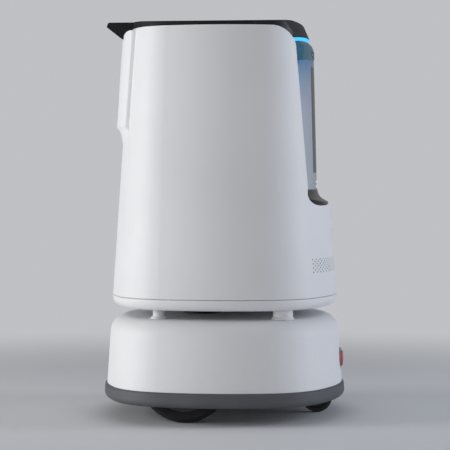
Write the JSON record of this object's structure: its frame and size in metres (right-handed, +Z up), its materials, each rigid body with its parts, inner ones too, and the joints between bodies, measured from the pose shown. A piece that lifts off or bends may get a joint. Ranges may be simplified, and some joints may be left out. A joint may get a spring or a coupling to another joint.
{
  "type": "autonomous mobile robot",
  "caption": "Free-standing indoor mobile robot: low drive base with bumper and casters, a scanner gap, and a tall tapered body with recessed front display and hinged rear hatch.",
  "frame": {"origin": "on the floor, under the centre of the robot's outline", "axes": "+X is the robot's front, +Y its left side, +Z up"},
  "size_m": [0.5484, 0.5882, 0.888],
  "materials": {
    "nut_steel": "zinc plated",
    "base_white": "satin",
    "battery_blue": "matte",
    "tray_metal": "satin",
    "body_white": "satin",
    "bumper_rubber": "soft matte",
    "lens_glass": "gloss",
    "carrier_black": "matte",
    "contact_brass": "satin",
    "chassis_metal": "powder coat",
    "deck_bolt_steel": "satin",
    "upright_metal": "satin",
    "front_caster_bolt_steel": "zinc plated",
    "front_bridge_metal": "powder coat",
    "front_fork_steel": "zinc plated",
    "front_plate_steel": "zinc plated",
    "front_caster_rubber": "matte",
    "display_glass": "gloss",
    "fascia_pearl": "soft gloss",
    "front_post_white": "satin",
    "visor_black": "gloss",
    "catch_metal": "satin",
    "hinge_fixed_steel": "satin",
    "hinge_moving_steel": "satin",
    "left_tyre_rubber": "matte",
    "left_axle_steel": "ground",
    "left_bracket_metal": "powder coat",
    "left_hub_metal": "cast, satin",
    "light_bar_blue": "lit diffuser",
    "computer_metal": "anodised",
    "controller_metal": "anodised",
    "power_metal": "brushed",
    "power_bezel_black": "matte",
    "rear_caster_bolt_steel": "zinc plated",
    "rear_bridge_metal": "powder coat",
    "rear_fork_steel": "zinc plated",
    "rear_plate_steel": "zinc plated",
    "rear_caster_rubber": "matte",
    "hatch_white": "satin",
    "rear_post_white": "satin",
    "right_tyre_rubber": "matte",
    "right_axle_steel": "ground",
    "right_bracket_metal": "powder coat",
    "right_hub_metal": "cast, satin",
    "scanner_black": "matte",
    "turret_black": "gloss",
    "sensor_bar_teal": "gloss",
    "bay_grey": "matte",
    "sill_glass": "gloss",
    "skirt_white": "satin",
    "speaker_black": "matte",
    "status_light": "gloss",
    "stop_red": "satin",
    "stop_collar_grey": "satin",
    "contact_block_black": "matte",
    "cap_black": "gloss",
    "top_frame_metal": "satin",
    "deck_metal": "satin",
    "arch_metal": "powder coat"
  },
  "bodies": {
    "robot_body": {"axle_nuts": "nut_steel", "base_shell": "base_white", "battery_pack": "battery_blue", "battery_tray": "tray_metal", "body_shell": "body_white", "bumper": "bumper_rubber", "camera_lenses": "lens_glass", "charge_contact_carrier": "carrier_black", "charge_contacts": "contact_brass", "chassis_plate": "chassis_metal", "deck_bolts": "deck_bolt_steel", "frame_uprights": "upright_metal", "front_caster_bridge": "front_bridge_metal", "front_caster_plate": "front_plate_steel", "front_display": "display_glass", "front_fascia": "fascia_pearl", "front_posts": "front_post_white", "front_visor": "visor_black", "hatch_catch": "catch_metal", "hatch_hinge_fixed": "hinge_fixed_steel", "left_wheel_axle": "left_axle_steel", "left_wheel_bracket": "left_bracket_metal", "light_bar": "light_bar_blue", "main_computer": "computer_metal", "motor_controllers": "controller_metal", "power_button_bezel": "power_bezel_black", "rear_caster_bridge": "rear_bridge_metal", "rear_caster_plate": "rear_plate_steel", "rear_posts": "rear_post_white", "right_wheel_axle": "right_axle_steel", "right_wheel_bracket": "right_bracket_metal", "scanner_housing": "scanner_black", "sensor_bar": "sensor_bar_teal", "service_bay": "bay_grey", "sill_window": "sill_glass", "skirt_pan": "skirt_white", "speaker_unit": "speaker_black", "status_lights": "status_light", "stop_button_collar": "stop_collar_grey", "stop_contact_block": "contact_block_black", "top_cap": "cap_black", "top_frame": "top_frame_metal", "upper_deck": "deck_metal", "wheel_arches": "arch_metal"},
    "left_wheel": {"left_tyre": "left_tyre_rubber", "left_wheel_hub": "left_hub_metal"},
    "right_wheel": {"right_tyre": "right_tyre_rubber", "right_wheel_hub": "right_hub_metal"},
    "front_fork": {"front_caster_fork": "front_fork_steel", "front_caster_axle": "front_caster_bolt_steel"},
    "front_roller": {"front_caster_wheel": "front_caster_rubber"},
    "rear_fork": {"rear_caster_fork": "rear_fork_steel", "rear_caster_axle": "rear_caster_bolt_steel"},
    "rear_roller": {"rear_caster_wheel": "rear_caster_rubber"},
    "turret": {"scanner_turret": "turret_black"},
    "stop_plunger": {"stop_button": "stop_red"},
    "power_plunger": {"power_button": "power_metal"},
    "hatch": {"rear_hatch": "hatch_white", "hatch_hinge_moving": "hinge_moving_steel"}
  },
  "joints": [
    {"name": "left_wheel_spin", "type": "hinge", "parent": "robot_body", "child": "left_wheel", "pos_m": [-0.066, 0.208, 0.1], "axis": [0, 1, 0], "continuous": true},
    {"name": "right_wheel_spin", "type": "hinge", "parent": "robot_body", "child": "right_wheel", "pos_m": [-0.066, -0.208, 0.1], "axis": [0, 1, 0], "continuous": true},
    {"name": "front_caster_swivel", "type": "hinge", "parent": "robot_body", "child": "front_fork", "pos_m": [0.187, 0, 0.097], "axis": [0, 0, 1], "continuous": true},
    {"name": "front_caster_roll", "type": "hinge", "parent": "front_fork", "child": "front_roller", "pos_m": [0.212, 0, 0.035], "axis": [0, 1, 0], "continuous": true},
    {"name": "rear_caster_swivel", "type": "hinge", "parent": "robot_body", "child": "rear_fork", "pos_m": [-0.165, 0, 0.097], "axis": [0, 0, 1], "continuous": true},
    {"name": "rear_caster_roll", "type": "hinge", "parent": "rear_fork", "child": "rear_roller", "pos_m": [-0.14, 0, 0.035], "axis": [0, 1, 0], "continuous": true},
    {"name": "scanner_spin", "type": "hinge", "parent": "robot_body", "child": "turret", "pos_m": [-0.052, 0, 0.235], "axis": [0, 0, 1], "continuous": true},
    {"name": "stop_button_press", "type": "slide", "parent": "robot_body", "child": "stop_plunger", "axis": [-1, 0, 0], "range_m": [0, 0.0045], "stiffness_N_per_m": 1200},
    {"name": "power_button_press", "type": "slide", "parent": "robot_body", "child": "power_plunger", "axis": [1, 0, 0], "range_m": [0, 0.0025], "stiffness_N_per_m": 800},
    {"name": "hatch_swing", "type": "hinge", "parent": "robot_body", "child": "hatch", "pos_m": [-0.197, 0.157, 0.74], "axis": [-0.0738, 0, -0.9973], "range_deg": [0, 95]}
  ]
}
